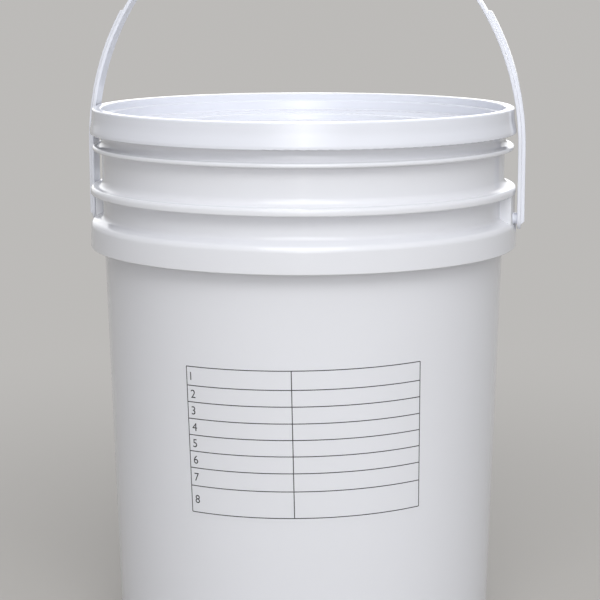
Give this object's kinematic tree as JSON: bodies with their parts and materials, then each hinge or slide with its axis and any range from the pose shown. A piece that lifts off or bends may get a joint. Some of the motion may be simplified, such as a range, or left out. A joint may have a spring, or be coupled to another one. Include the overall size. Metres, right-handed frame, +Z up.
{
  "type": "plastic honey bucket",
  "caption": "White plastic pail for honey: tapered bucket with ringed neck, press-on lid with a stepped well and gasket, swinging strap bail on side ears, ruled film label.",
  "frame": {"origin": "middle of the foot ring, on the surface that the pail stands on", "axes": "+Z up, through the lid; X along the two bail pivots; the front, with the label, faces -Y and a little towards +X"},
  "size_m": [0.3134, 0.3016, 0.5223],
  "materials": {
    "bucket_plastic": "moulded white polypropylene, slightly milky, semi-gloss",
    "lid_plastic": "moulded white polyethylene, brighter than the bucket, semi-gloss",
    "gasket_foam": "pale soft sealing ring",
    "bail_plastic": "moulded white polyethylene, smooth, semi-gloss",
    "label_film": "white film with thin black ruled lines and plain row numbers"
  },
  "bodies": {
    "bucket": {"bucket_body": "bucket_plastic", "front_label": "label_film"},
    "lid": {"press_on_lid": "lid_plastic", "lid_gasket": "gasket_foam"},
    "bail": {"bail_handle": "bail_plastic"}
  },
  "joints": [
    {"name": "bail_swing", "type": "hinge", "parent": "bucket", "child": "bail", "pos_m": [0, 0, 0.2995], "axis": [1, 0, 0], "range_deg": [-138, 138]},
    {"name": "lid_lift", "type": "slide", "parent": "bucket", "child": "lid", "axis": [0, 0, 1], "range_m": [0, 0.008]}
  ]
}
